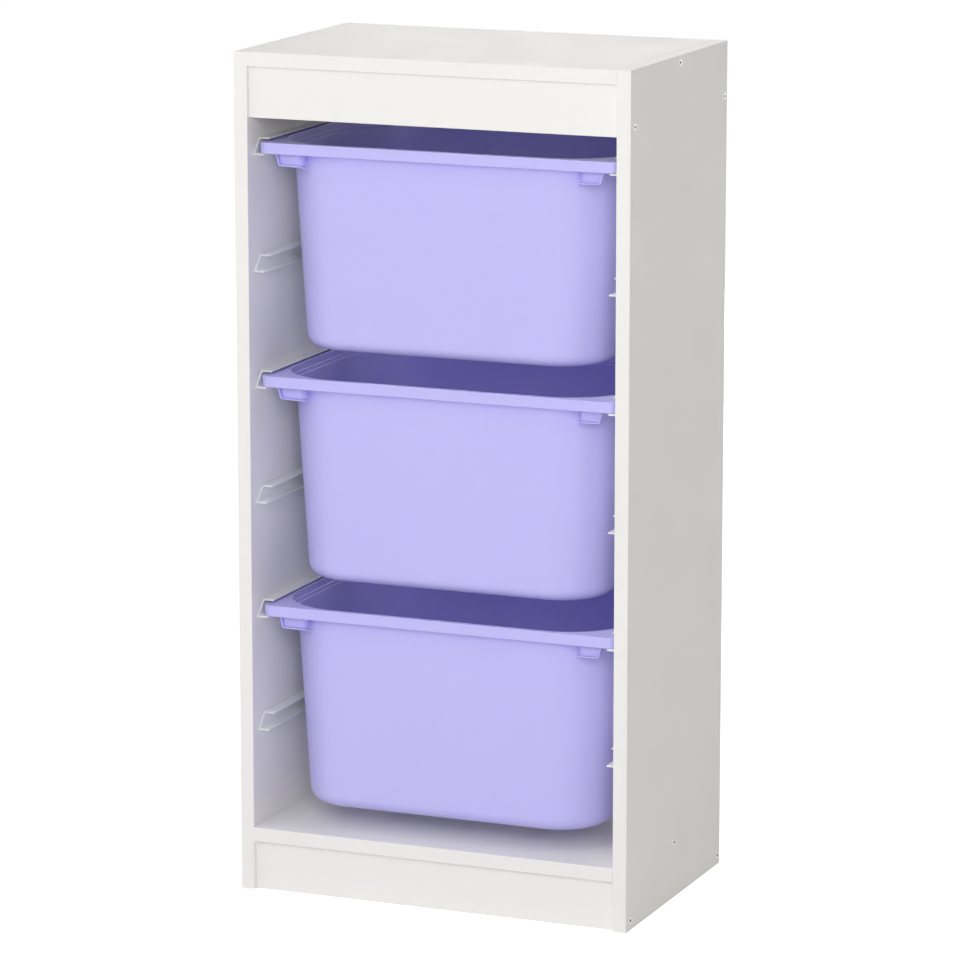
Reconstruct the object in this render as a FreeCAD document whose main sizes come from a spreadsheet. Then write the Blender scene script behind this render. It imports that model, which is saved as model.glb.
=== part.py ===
"""Toy storage organizer: a white board frame with three pull-out bins.

The row frame is in millimetres: +X to the right, +Y to the back, +Z up. Its origin is on the floor
under the middle of the frame. Every size is a cell of the sheet below or an expression of its cells.
"""
import FreeCAD, Part
import math
import os
import Sketcher

V = FreeCAD.Vector
doc = FreeCAD.newDocument("toy_storage_organizer")


# ---------------------------------------------------------------- driving sizes
DRIVING_SIZES = (
    # outer frame of foil-covered board
    ("frame_width", 460.0),
    ("frame_depth", 300.0),
    ("frame_height", 940.0),
    ("board", 16.0),
    ("rail_height", 56.0),
    ("top_rail_setback", 5.0),
    ("plinth_setback", 6.5),
    ("board_edge_round", 0.8),
    # screws and dowels that hold the boards together
    ("screw_head_diameter", 7.0),
    ("screw_head_height", 4.0),
    ("screw_shank_diameter", 5.0),
    ("screw_length", 50.0),
    ("screw_tip", 3.0),
    ("screw_socket", 3.8),
    ("screw_socket_depth", 3.0),
    ("screw_clearance", 0.1),
    ("rail_screw_edge", 11.0),
    ("rail_dowel_edge", 12.0),
    ("panel_dowel_edge", 42.0),
    ("dowel_diameter", 8.0),
    ("dowel_length", 30.0),
    ("dowel_in_side", 10.0),
    ("dowel_clearance", 0.05),
    # runners
    ("runner_spaces", 6.0),
    ("top_runner_drop", 114.0),
    ("runner_wall", 1.6),
    ("runner_lip_gap", 2.7),
    ("runner_setback", 13.0),
    ("runner_slant", 17.0),
    ("peg_diameter", 6.0),
    ("peg_length", 9.0),
    ("peg_inset", 48.0),
    ("peg_clearance", 0.05),
    # bins
    ("rim_side_gap", 5.0),
    ("rim_front_setback", 15.0),
    ("rim_back_setback", 3.0),
    ("rim_height", 12.0),
    ("rim_wall", 1.8),
    ("rim_corner", 10.0),
    ("rim_edge_round", 1.2),
    ("rim_running_gap", 0.3),
    ("rim_top_gap", 1.9),
    ("bin_gap", 29.2),
    ("floor_margin", 23.1),
    ("bin_wall", 1.6),
    ("mouth_inset", 8.5),
    ("mouth_end_inset", 6.6),
    ("mouth_corner", 73.0),
    ("mouth_edge_round", 0.7),
    ("ledge_width", 1.9),
    ("first_ledge_depth", 8.2),
    ("second_ledge_depth", 12.0),
    ("side_taper", 20.5),
    ("end_taper", 3.5),
    ("body_corner", 79.8),
    ("base_corner", 60.0),
    ("base_round", 15.0),
    # stops under the corners of a bin's rim: a thin wall, U-shaped in plan, with a raised edge
    ("stop_inset", 18.4),
    ("stop_end", 47.8),
    ("stop_lean", 0.26),
    ("stop_drop", 13.2),
    ("stop_wall", 1.6),
    ("stop_face_inset", 11.5),
    ("stop_return", 10.0),
    ("stop_root", 13.0),
    ("bead_inset", 7.5),
    ("bead_wall", 1.5),
    ("bead_overlap", 0.8),
    ("bead_hook", 4.4),
)

ALIASES = {alias for alias, number in DRIVING_SIZES}
sheet = doc.addObject("Spreadsheet::Sheet", "sizes")
for row, (alias, number) in enumerate(DRIVING_SIZES, start=1):
    sheet.set("A%d" % row, alias)
    sheet.set("B%d" % row, str(number))
    sheet.setAlias("B%d" % row, alias)
doc.recompute()


def expr(text):
    """Turn the bare names of cells in an expression into references to the sheet."""
    words = []
    word = ""
    for letter in text + " ":
        if letter.isalnum() or letter in "_.":
            word += letter
            continue
        words.append("sizes." + word if word in ALIASES else word)
        words.append(letter)
        word = ""
    return "".join(words).strip()


def size(text):
    """The number that an expression of the sheet's cells gives."""
    return float(sheet.evalExpression(expr(text)))


# ---------------------------------------------------------------- derived sizes, as expressions
INNER_WIDTH = "(frame_width - 2 * board)"
BOTTOM_PANEL_TOP = "(rail_height + board)"
TOP_RUNNER_LEVEL = "(frame_height - top_runner_drop)"
RIM_OVER_RUNNER = "(runner_wall + rim_running_gap)"
# a runner holds the rim with a gap above and below, and its lips stop short of the bin's wall
RUNNER_HEIGHT = "(2 * runner_wall + rim_running_gap + rim_height + rim_top_gap)"
BODY_INSET = "(mouth_inset + 2 * ledge_width - bin_wall)"
RUNNER_REACH = "(rim_side_gap + %s - runner_lip_gap)" % BODY_INSET
# equal spaces between runners leave the lowest bin its margin over the bottom panel
RUNNER_PITCH = ("((%s - %s - floor_margin + %s + rim_height + bin_gap) / runner_spaces)"
                % (TOP_RUNNER_LEVEL, BOTTOM_PANEL_TOP, RIM_OVER_RUNNER))
RUNNER_LENGTH = "(frame_depth - 2 * runner_setback)"
BIN_WIDTH = "(%s - 2 * rim_side_gap)" % INNER_WIDTH
BIN_DEPTH = "(frame_depth - rim_front_setback - rim_back_setback)"
BIN_HEIGHT = "(2 * %s - bin_gap)" % RUNNER_PITCH
BIN_MIDDLE_Y = "(rim_front_setback + %s / 2 - frame_depth / 2)" % BIN_DEPTH
WALL_DROP = "(%s - rim_height)" % BIN_HEIGHT
LEDGE_TWO_FOOT = "(rim_height - second_ledge_depth - bin_wall)"
LEDGE_ONE_FOOT = "(rim_height - first_ledge_depth - bin_wall)"
RUNNER_COUNT = 6
BIN_LEVELS = {"bin_top": 1, "bin_middle": 3, "bin_bottom": 5}
SIDES = {"left": -1, "right": 1}


def runner_level(number):
    """Height of the underside of a runner, counted from the top one, which is number 1."""
    return "(%s - %d * %s)" % (TOP_RUNNER_LEVEL, number - 1, RUNNER_PITCH)


# ---------------------------------------------------------------- shared building steps
FLAT = 0.01


def new_body(label):
    """A solid sub-part of its own, labelled with its name."""
    body = doc.addObject("PartDesign::Body", label)
    body.Label = label
    return body


def place(thing, x="0", y="0", z="0"):
    """Bind the place of a sub-part to expressions of the sheet."""
    for axis, text in (("x", x), ("y", y), ("z", z)):
        thing.setExpression("Placement.Base." + axis, expr(text))


def origin_plane(body, role):
    """One of the three base planes of a sub-part."""
    return next(plane for plane in body.Origin.OriginFeatures if plane.Role == role)


def new_sketch(body, name, role, offset="0"):
    """An empty sketch on a base plane, moved along the plane's normal."""
    sketch = body.newObject("Sketcher::SketchObject", name)
    sketch.AttachmentSupport = [(origin_plane(body, role), "")]
    sketch.MapMode = "FlatFace"
    sketch.setExpression("AttachmentOffset.Base.z", expr(offset))
    return sketch


def bind(sketch, constraint, name, text):
    """Add a named dimension to a sketch and bind it to an expression."""
    index = sketch.addConstraint(constraint)
    sketch.renameConstraint(index, name)
    sketch.setExpression("Constraints." + name, expr(text))


def set_point(sketch, name, geometry, end, x, y):
    """Dimension a point of a sketch from its origin; both distances are positive."""
    bind(sketch, Sketcher.Constraint("DistanceX", -1, 1, geometry, end, size(x)), name + "_x", x)
    bind(sketch, Sketcher.Constraint("DistanceY", -1, 1, geometry, end, size(y)), name + "_y", y)


def draw_polygon(sketch, name, corners):
    """A closed outline of straight lines through corners given as expressions."""
    points = [V(size(x), size(y), 0) for x, y in corners]
    count = len(points)
    first = sketch.GeometryCount
    for index in range(count):
        sketch.addGeometry(Part.LineSegment(points[index], points[(index + 1) % count]), False)
    for index in range(count):
        ahead = first + (index + 1) % count
        sketch.addConstraint(Sketcher.Constraint("Coincident", first + index, 2, ahead, 1))
        if corners[index] == ("0", "0"):
            sketch.addConstraint(Sketcher.Constraint("Coincident", first + index, 1, -1, 1))
            continue
        for direction, text in (("X", corners[index][0]), ("Y", corners[index][1])):
            if text == "0":
                axis = -2 if direction == "X" else -1
                sketch.addConstraint(Sketcher.Constraint("PointOnObject", first + index, 1, axis))
                continue
            rule = Sketcher.Constraint("Distance" + direction, -1, 1, first + index, 1, size(text))
            bind(sketch, rule, "%s_%d_%s" % (name, index, direction.lower()), text)


def draw_circles(sketch, name, diameter, centres):
    """Circles of one diameter at centres given as expressions."""
    for index, (x, y) in enumerate(centres):
        centre = V(size(x), size(y), 0)
        circle = Part.Circle(centre, V(0, 0, 1), size(diameter) / 2)
        number = sketch.addGeometry(circle, False)
        set_point(sketch, "%s_%d" % (name, index), number, 3, x, y)
        rule = Sketcher.Constraint("Diameter", number, size(diameter))
        bind(sketch, rule, "%s_%d_diameter" % (name, index), diameter)


def draw_rounded(sketch, width, depth, corner):
    """A rounded rectangle about the origin of the sketch: four lines and four arcs."""
    half_x, half_y, radius = size(width) / 2, size(depth) / 2, size(corner)
    in_x, in_y = half_x - radius, half_y - radius
    turns = ((1, -1), (1, 1), (-1, 1), (-1, -1))
    lines = (
        (V(-in_x, -half_y, 0), V(in_x, -half_y, 0)),
        (V(half_x, -in_y, 0), V(half_x, in_y, 0)),
        (V(in_x, half_y, 0), V(-in_x, half_y, 0)),
        (V(-half_x, in_y, 0), V(-half_x, -in_y, 0)),
    )
    quarter = math.pi / 2
    for start, end in lines:
        sketch.addGeometry(Part.LineSegment(start, end), False)
    for index, (side_x, side_y) in enumerate(turns):
        circle = Part.Circle(V(side_x * in_x, side_y * in_y, 0), V(0, 0, 1), radius)
        arc = Part.ArcOfCircle(circle, (index - 1) * quarter, index * quarter)
        sketch.addGeometry(arc, False)
    for index in range(4):
        ahead = (index + 1) % 4
        direction = "Horizontal" if index % 2 == 0 else "Vertical"
        sketch.addConstraint(Sketcher.Constraint("Tangent", index, 2, 4 + index, 1))
        sketch.addConstraint(Sketcher.Constraint("Tangent", 4 + index, 2, ahead, 1))
        sketch.addConstraint(Sketcher.Constraint(direction, index))
        if index:
            sketch.addConstraint(Sketcher.Constraint("Equal", 4, 4 + index))
    sketch.addConstraint(Sketcher.Constraint("Symmetric", 4, 3, 6, 3, -1, 1))
    bind(sketch, Sketcher.Constraint("DistanceX", 3, 1, 1, 1, 2 * half_x), "width", width)
    bind(sketch, Sketcher.Constraint("DistanceY", 0, 1, 2, 1, 2 * half_y), "depth", depth)
    bind(sketch, Sketcher.Constraint("Radius", 4, radius), "corner", corner)


def pad(body, sketch, length, reverse=False):
    """Raise a sketch into a solid, along its normal or against it."""
    feature = body.newObject("PartDesign::Pad", sketch.Name + "_pad")
    feature.Profile = sketch
    feature.setExpression("Length", expr(length))
    feature.Reversed = reverse
    doc.recompute()
    return feature


def pocket(body, sketch, depth, reverse=False):
    """Cut a sketch into the solid, against its normal or along it, and see that it cut."""
    before = body.Shape.Volume
    feature = body.newObject("PartDesign::Pocket", sketch.Name + "_pocket")
    feature.Profile = sketch
    feature.setExpression("Length", expr(depth))
    feature.Reversed = reverse
    doc.recompute()
    if not body.Shape.Volume < before - 1e-3:
        raise RuntimeError("%s cuts nothing from %s" % (sketch.Name, body.Label))
    return feature


def loft(body, kind, first, second):
    """Join two sketches of the same make-up by a ruled wall, and see that it changed the solid."""
    before = body.Shape.Volume
    feature = body.newObject("PartDesign::" + kind, first.Name + "_loft")
    feature.Profile = first
    feature.Sections = [second]
    feature.Ruled = True
    doc.recompute()
    if abs(body.Shape.Volume - before) < 1e-3:
        raise RuntimeError("%s changes nothing in %s" % (first.Name, body.Label))
    return feature


def fillet(body, name, radius, edges):
    """Round some edges of a solid."""
    base = body.Tip
    names = ["Edge%d" % (number + 1) for number, edge in enumerate(base.Shape.Edges)
             if any(edge.isSame(wanted) for wanted in edges)]
    feature = body.newObject("PartDesign::Fillet", name)
    feature.Base = (base, names)
    feature.setExpression("Radius", expr(radius))
    doc.recompute()
    return feature


def level_faces(body, level):
    """The flat faces of a sub-part at a level of its own frame."""
    height = size(level)
    return [face for face in body.Tip.Shape.Faces
            if abs(face.BoundBox.ZMin - height) < FLAT and abs(face.BoundBox.ZMax - height) < FLAT]


# ---------------------------------------------------------------- joints between the boards
def joint_points():
    """Where screws and dowels cross each side panel: (y from the front, z from the floor)."""
    half = "board / 2"
    panel_levels = {
        "top_panel": "(frame_height - %s)" % half,
        "bottom_panel": "(rail_height + %s)" % half,
    }
    points = {}
    for name, level in panel_levels.items():
        dowels = (("panel_dowel_edge", level), ("(frame_depth - panel_dowel_edge)", level))
        points[name] = {"screws": (("frame_depth / 2", level),), "dowels": dowels}
    depths = {
        "front_top_rail": "(top_rail_setback + %s)" % half,
        "back_top_rail": "(frame_depth - %s)" % half,
        "front_plinth": "(plinth_setback + %s)" % half,
        "back_plinth": "(frame_depth - %s)" % half,
    }
    for name, depth in depths.items():
        if name.endswith("plinth"):
            screw, dowel = "rail_screw_edge", "(rail_height - rail_dowel_edge)"
        else:
            screw = "(frame_height - board - rail_height + rail_screw_edge)"
            dowel = "(frame_height - board - rail_dowel_edge)"
        points[name] = {"screws": ((depth, screw),), "dowels": ((depth, dowel),)}
    return points


JOINTS = joint_points()
SCREW_POINTS = [point for joint in JOINTS.values() for point in joint["screws"]]
DOWEL_POINTS = [point for joint in JOINTS.values() for point in joint["dowels"]]
PEG_DEPTHS = ("(runner_setback + peg_inset)", "frame_depth / 2",
              "(frame_depth - runner_setback - peg_inset)")
PEG_POINTS = [(depth, "(%s + %s / 2)" % (runner_level(number), RUNNER_HEIGHT))
              for number in range(1, RUNNER_COUNT + 1) for depth in PEG_DEPTHS]
SCREW_BORE = "(screw_shank_diameter + 2 * screw_clearance)"
DOWEL_BORE = "(dowel_diameter + 2 * dowel_clearance)"


# ---------------------------------------------------------------- side panels
def side_panel(name, side):
    """An upright board, eased at every edge, with its outer face on the sub-part's own YZ plane."""
    right = side > 0
    inner = "board" if not right else "-board"
    body = new_body(name)
    outline = new_sketch(body, name + "_outline", "YZ_Plane")
    corners = (("0", "0"), ("frame_depth", "0"), ("frame_depth", "frame_height"), ("0", "frame_height"))
    draw_polygon(outline, "edge", corners)
    pad(body, outline, "board", right)
    fillet(body, name + "_eased", "board_edge_round", body.Tip.Shape.Edges)
    heads = new_sketch(body, name + "_heads", "YZ_Plane")
    draw_circles(heads, "head", "(screw_head_diameter + 2 * screw_clearance)", SCREW_POINTS)
    pocket(body, heads, "screw_head_height", not right)
    bores = new_sketch(body, name + "_bores", "YZ_Plane")
    draw_circles(bores, "bore", SCREW_BORE, SCREW_POINTS)
    pocket(body, bores, "board", not right)
    dowels = new_sketch(body, name + "_dowels", "YZ_Plane", inner)
    draw_circles(dowels, "dowel", DOWEL_BORE, DOWEL_POINTS)
    pocket(body, dowels, "(dowel_in_side + 2 * dowel_clearance)", right)
    pegs = new_sketch(body, name + "_pegs", "YZ_Plane", inner)
    draw_circles(pegs, "peg", "(peg_diameter + 2 * peg_clearance)", PEG_POINTS)
    pocket(body, pegs, "(peg_length + 10 * peg_clearance)", right)
    place(body, "%d * frame_width / 2" % side, "-frame_depth / 2")
    return body


# ---------------------------------------------------------------- boards between the sides
def cross_board(name, depth, height, front, bottom):
    """A board between the side panels: long edges eased, screw and dowel bores in both ends."""
    body = new_body(name)
    outline = new_sketch(body, name + "_outline", "YZ_Plane")
    draw_polygon(outline, "edge", (("0", "0"), (depth, "0"), (depth, height), ("0", height)))
    pad(body, outline, INNER_WIDTH)
    long_edges = [edge for edge in body.Tip.Shape.Edges if abs(edge.Length - size(INNER_WIDTH)) < FLAT]
    fillet(body, name + "_eased", "board_edge_round", long_edges)
    for kind, bore, deep in (
        ("screws", SCREW_BORE, "(screw_length - board + 10 * screw_clearance)"),
        ("dowels", DOWEL_BORE, "(dowel_length - dowel_in_side + 2 * dowel_clearance)"),
    ):
        centres = [("(%s - (%s))" % (y, front), "(%s - (%s))" % (z, bottom)) for y, z in JOINTS[name][kind]]
        for end, offset, reverse in (("left", "0", True), ("right", INNER_WIDTH, False)):
            bores = new_sketch(body, "%s_%s_%s" % (name, end, kind), "YZ_Plane", offset)
            draw_circles(bores, "bore", bore, centres)
            pocket(body, bores, deep, reverse)
    place(body, "-%s / 2" % INNER_WIDTH, "(%s) - frame_depth / 2" % front, bottom)
    return body


def cross_boards():
    """Top and bottom panel, and the rail or plinth under each at the front and at the back."""
    rail_bottom = "(frame_height - board - rail_height)"
    back = "(frame_depth - board)"
    return [
        cross_board("top_panel", "frame_depth", "board", "0", "(frame_height - board)"),
        cross_board("bottom_panel", "frame_depth", "board", "0", "rail_height"),
        cross_board("front_top_rail", "board", "rail_height", "top_rail_setback", rail_bottom),
        cross_board("back_top_rail", "board", "rail_height", back, rail_bottom),
        cross_board("front_plinth", "board", "rail_height", "plinth_setback", "0"),
        cross_board("back_plinth", "board", "rail_height", back, "0"),
    ]


# ---------------------------------------------------------------- runners
def runner(name, side, number):
    """A moulded channel with slanted ends and three pegs; its back lies on its own YZ plane."""
    right = side > 0
    body = new_body(name)
    outline = new_sketch(body, name + "_outline", "YZ_Plane")
    corners = (
        ("0", "0"),
        (RUNNER_LENGTH, "0"),
        ("(%s - runner_slant)" % RUNNER_LENGTH, RUNNER_HEIGHT),
        ("runner_slant", RUNNER_HEIGHT),
    )
    draw_polygon(outline, "edge", corners)
    pad(body, outline, RUNNER_REACH, right)
    groove = new_sketch(body, name + "_groove", "YZ_Plane", "%d * %s" % (-side, RUNNER_REACH))
    low, high = "runner_wall", "(%s - runner_wall)" % RUNNER_HEIGHT
    draw_polygon(groove, "edge", (("0", low), (RUNNER_LENGTH, low), (RUNNER_LENGTH, high), ("0", high)))
    pocket(body, groove, "(%s - runner_wall)" % RUNNER_REACH, right)
    pegs = new_sketch(body, name + "_pegs", "YZ_Plane")
    centres = [("(%s - runner_setback)" % depth, "%s / 2" % RUNNER_HEIGHT) for depth in PEG_DEPTHS]
    draw_circles(pegs, "peg", "peg_diameter", centres)
    pad(body, pegs, "peg_length", not right)
    place(body, "%d * %s / 2" % (side, INNER_WIDTH), "runner_setback - frame_depth / 2", runner_level(number))
    return body


# ---------------------------------------------------------------- bins
def rim_outline(body, name, offset, inset, end_inset, corner):
    """A level outline that runs inside the rim's edge, by one inset at the sides and one at the ends."""
    sketch = new_sketch(body, name, "XY_Plane", offset)
    width = "(%s - 2 * %s)" % (BIN_WIDTH, inset)
    depth = "(%s - 2 * %s)" % (BIN_DEPTH, end_inset)
    draw_rounded(sketch, width, depth, corner)
    return sketch


def base_outline(body, name, offset, inset):
    """The outline of the tapered wall where it would meet the underside of the bin."""
    sketch = new_sketch(body, name, "XY_Plane", offset)
    width = "(%s - 2 * (%s + side_taper + %s))" % (BIN_WIDTH, BODY_INSET, inset)
    depth = "(%s - 2 * (%s + end_taper + %s))" % (BIN_DEPTH, BODY_INSET, inset)
    draw_rounded(sketch, width, depth, "(base_corner - %s)" % inset)
    return sketch


def stop_outline(body, name, level):
    """Plan of one corner stop at a level: its outer leg leans with the level, its other faces stand upright."""
    half_x, half_y = "%s / 2" % BIN_WIDTH, "%s / 2" % BIN_DEPTH
    x_out = "(%s - stop_inset + stop_lean * %s)" % (half_x, level)
    x_end = "(%s - stop_end)" % half_x
    y_face = "(%s - stop_face_inset)" % half_y
    corners = (
        (x_end, y_face),
        (x_out, y_face),
        (x_out, "(%s - stop_return)" % y_face),
        ("(%s - stop_wall)" % x_out, "(%s - stop_return)" % y_face),
        ("(%s - stop_wall)" % x_out, "(%s - stop_wall)" % y_face),
        ("(%s + stop_wall)" % x_end, "(%s - stop_wall)" % y_face),
        ("(%s + stop_wall)" % x_end, "(%s - stop_root)" % y_face),
        (x_end, "(%s - stop_root)" % y_face),
    )
    sketch = new_sketch(body, name, "XY_Plane", level)
    draw_polygon(sketch, "edge", corners)
    return sketch


def stop_bead(body, name):
    """The raised edge of a stop, down its outer side and along its foot, drawn on the front and raised from it."""
    half_x, half_y = "%s / 2" % BIN_WIDTH, "%s / 2" % BIN_DEPTH
    high = "(rim_height - rim_wall)"
    x_high = "(%s - stop_inset + stop_lean * %s)" % (half_x, high)
    x_low = "(%s - stop_inset - stop_lean * stop_drop)" % half_x
    x_end = "(%s - stop_end)" % half_x
    y_back = "(%s - stop_face_inset - bead_overlap)" % half_y
    corners = (
        (x_high, high),
        ("(%s - bead_wall)" % x_high, high),
        ("(%s - bead_wall)" % x_low, "(bead_wall / 2 - stop_drop)"),
        (x_end, "(bead_wall / 2 - stop_drop)"),
        (x_end, "-(stop_drop + bead_wall / 2)"),
        (x_low, "-(stop_drop + bead_wall / 2)"),
    )
    sketch = new_sketch(body, name + "_bead", "XZ_Plane", "-%s" % y_back)
    draw_polygon(sketch, "edge", corners)
    return pad(body, sketch, "(stop_face_inset - bead_inset + bead_overlap)", True)


def bead_hook(body, name):
    """The end of a stop's bead, where it turns down and dies into the bin's wall."""
    half_x, half_y = "%s / 2" % BIN_WIDTH, "%s / 2" % BIN_DEPTH
    x_end = "(%s - stop_end)" % half_x
    y_back = "(%s - stop_face_inset - stop_root)" % half_y
    foot = "(stop_drop + bead_wall / 2)"
    corners = (
        ("(%s + stop_wall)" % x_end, "(bead_wall / 2 - stop_drop)"),
        (x_end, "(bead_wall / 2 - stop_drop)"),
        ("(%s - bead_hook)" % x_end, "(bead_wall - bead_hook - %s)" % foot),
        ("(%s - bead_hook + bead_wall)" % x_end, "-(bead_hook + %s)" % foot),
        ("(%s + stop_wall)" % x_end, "-%s" % foot),
    )
    sketch = new_sketch(body, name + "_hook", "XZ_Plane", "-%s" % y_back)
    draw_polygon(sketch, "edge", corners)
    return pad(body, sketch, "stop_root / 2", True)


def corner_stops(body, name):
    """One stop with its bead under a corner of the rim, mirrored to the other three corners."""
    high = stop_outline(body, name + "_stop_high", "(rim_height - rim_wall)")
    low = stop_outline(body, name + "_stop_low", "(-stop_drop)")
    stop = [loft(body, "AdditiveLoft", high, low), stop_bead(body, name), bead_hook(body, name)]
    four = body.newObject("PartDesign::MultiTransform", name + "_stops")
    mirrors = []
    for role in ("YZ_Plane", "XZ_Plane"):
        mirror = body.newObject("PartDesign::Mirrored", "%s_%s_mirror" % (name, role))
        mirror.MirrorPlane = (origin_plane(body, role), [""])
        mirrors.append(mirror)
    four.Originals = stop
    four.Transformations = mirrors
    body.Tip = four
    doc.recompute()
    return four


def storage_bin(name, number):
    """A moulded bin: flanged rim with a skirt, two ledges, tapered walls and a rounded base."""
    body = new_body(name)
    under_rim = "(rim_height - rim_wall)"
    pad(body, rim_outline(body, name + "_rim", "0", "0", "0", "rim_corner"), "rim_height")
    hollow = rim_outline(body, name + "_skirt", "0", "rim_wall", "rim_wall", "(rim_corner - rim_wall)")
    pocket(body, hollow, under_rim, True)
    step_inset, step_end = "(mouth_inset + ledge_width)", "(mouth_end_inset + ledge_width)"
    step_corner = "(mouth_corner - ledge_width)"
    for ledge, foot, inset, end_inset, corner in (
        ("ledge_one", LEDGE_ONE_FOOT, "mouth_inset", "mouth_end_inset", "mouth_corner"),
        ("ledge_two", LEDGE_TWO_FOOT, step_inset, step_end, step_corner),
    ):
        collar = rim_outline(body, "%s_%s" % (name, ledge), foot, "(%s - bin_wall)" % inset,
                             "(%s - bin_wall)" % end_inset, "(%s + bin_wall)" % corner)
        pad(body, collar, "(rim_height - %s)" % foot)
    top = rim_outline(body, name + "_wall_top", LEDGE_TWO_FOOT, BODY_INSET, BODY_INSET, "body_corner")
    base = base_outline(body, name + "_wall_base", "-%s" % WALL_DROP, "0")
    loft(body, "AdditiveLoft", top, base)
    corner_stops(body, name)
    mouth = rim_outline(body, name + "_mouth", "rim_height", "mouth_inset", "mouth_end_inset", "mouth_corner")
    pocket(body, mouth, "first_ledge_depth")
    step = rim_outline(body, name + "_step", "rim_height", step_inset, step_end, step_corner)
    pocket(body, step, "second_ledge_depth")
    wall_inset = "(%s + bin_wall)" % BODY_INSET
    cavity_top = rim_outline(body, name + "_cavity_top", "(rim_height - second_ledge_depth)",
                             wall_inset, wall_inset, "(body_corner - bin_wall)")
    floor_level = "(bin_wall - %s)" % WALL_DROP
    cavity_base = base_outline(body, name + "_cavity_base", floor_level, "bin_wall")
    loft(body, "SubtractiveLoft", cavity_top, cavity_base)
    fillet(body, name + "_floor_round", "(base_round - bin_wall)", level_faces(body, floor_level)[0].Edges)
    fillet(body, name + "_base_round", "base_round", level_faces(body, "-%s" % WALL_DROP)[0].Edges)
    flange = level_faces(body, "rim_height")[0]
    fillet(body, name + "_rim_round", "rim_edge_round", flange.OuterWire.Edges)
    flange = level_faces(body, "rim_height")[0]
    lip = [edge for edge in flange.Edges if not any(edge.isSame(out) for out in flange.OuterWire.Edges)]
    fillet(body, name + "_mouth_round", "mouth_edge_round", lip)
    place(body, "0", BIN_MIDDLE_Y, "(%s + %s)" % (runner_level(number), RIM_OVER_RUNNER))
    return body


# ---------------------------------------------------------------- screws and dowels
def primitive(kind, name, side, bindings, offset, point):
    """A simple solid along X that starts at an offset inwards from a side panel's outer face."""
    solid = doc.addObject("Part::" + kind, name)
    for key, text in bindings.items():
        solid.setExpression(key, expr(text))
    solid.Placement.Rotation = FreeCAD.Rotation(V(0, 1, 0), -90 * side)
    depth, level = point
    place(solid, "%d * (frame_width / 2 - %s)" % (side, offset), "(%s) - frame_depth / 2" % depth, level)
    return solid


def screw(name, side, point):
    """A flush socket-head screw through a side panel into the end of a cross board."""
    head_sizes = {"Radius": "screw_head_diameter / 2", "Height": "screw_head_height"}
    shank_sizes = {
        "Radius": "screw_shank_diameter / 2",
        "Height": "screw_length - screw_head_height - screw_tip",
    }
    tip_sizes = {
        "Radius1": "screw_shank_diameter / 2",
        "Radius2": "screw_shank_diameter / 8",
        "Height": "screw_tip",
    }
    socket_sizes = {"Circumradius": "screw_socket / sqrt(3)", "Height": "screw_socket_depth"}
    head = primitive("Cylinder", name + "_head", side, head_sizes, "0", point)
    shank = primitive("Cylinder", name + "_shank", side, shank_sizes, "screw_head_height", point)
    tip = primitive("Cone", name + "_tip", side, tip_sizes, "(screw_length - screw_tip)", point)
    socket = primitive("Prism", name + "_socket", side, socket_sizes, "0", point)
    socket.Polygon = 6
    solid = doc.addObject("Part::MultiFuse", name + "_solid")
    solid.Shapes = [head, shank, tip]
    cut = doc.addObject("Part::Cut", name)
    cut.Base = solid
    cut.Tool = socket
    return cut


def dowel(name, side, point):
    """A wooden pin across the joint of a side panel and a cross board."""
    bindings = {"Radius": "dowel_diameter / 2", "Height": "dowel_length"}
    return primitive("Cylinder", name, side, bindings, "(board - dowel_in_side)", point)


def group(name, solids):
    """Like solids kept together as one sub-part."""
    compound = doc.addObject("Part::Compound", name)
    compound.Label = name
    compound.Links = solids
    return compound


def fasteners(side_name, side):
    """The screws and the dowels of one side of the frame."""
    screws = [screw("screw_%s_%d" % (side_name, index + 1), side, point)
              for index, point in enumerate(SCREW_POINTS)]
    dowels = [dowel("dowel_%s_%d" % (side_name, index + 1), side, point)
              for index, point in enumerate(DOWEL_POINTS)]
    return [group("screws_" + side_name, screws), group("dowels_" + side_name, dowels)]


# ---------------------------------------------------------------- the whole organizer
def build():
    """Make every sub-part in the order in which the organizer is put together."""
    parts = [side_panel("side_panel_" + name, side) for name, side in SIDES.items()]
    parts += cross_boards()
    for name, side in SIDES.items():
        parts += fasteners(name, side)
        parts += [runner("runner_%s_%d" % (name, number), side, number)
                  for number in range(1, RUNNER_COUNT + 1)]
    parts += [storage_bin(name, number) for name, number in BIN_LEVELS.items()]
    return parts


def write(parts):
    """Check every object and solid, then write one file for each sub-part."""
    doc.recompute()
    for thing in doc.Objects:
        if "Invalid" in thing.State or "Error" in thing.State:
            raise RuntimeError("%s failed: %s" % (thing.Label, thing.State))
    for part in parts:
        if part.Shape.isNull() or not part.Shape.isValid():
            raise RuntimeError("%s has no valid shape" % part.Label)
    os.makedirs("parts", exist_ok=True)
    for part in parts:
        part.Shape.exportStep(os.path.join("parts", part.Label + ".step"))
        box = part.Shape.BoundBox
        print("%-16s %2d solid  %9.0f mm3  x %7.1f %7.1f  y %7.1f %7.1f  z %7.1f %7.1f"
              % (part.Label, len(part.Shape.Solids), part.Shape.Volume,
                 box.XMin, box.XMax, box.YMin, box.YMax, box.ZMin, box.ZMax))


write(build())
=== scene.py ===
"""The looks of a toy storage organizer: a white board frame, moulded runners and three lavender bins.

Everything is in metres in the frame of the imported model: +X to the right, +Y to the back, +Z up, with the
origin on the floor under the middle of the frame. The sections follow the order in which it is put together.
"""
import math

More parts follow.
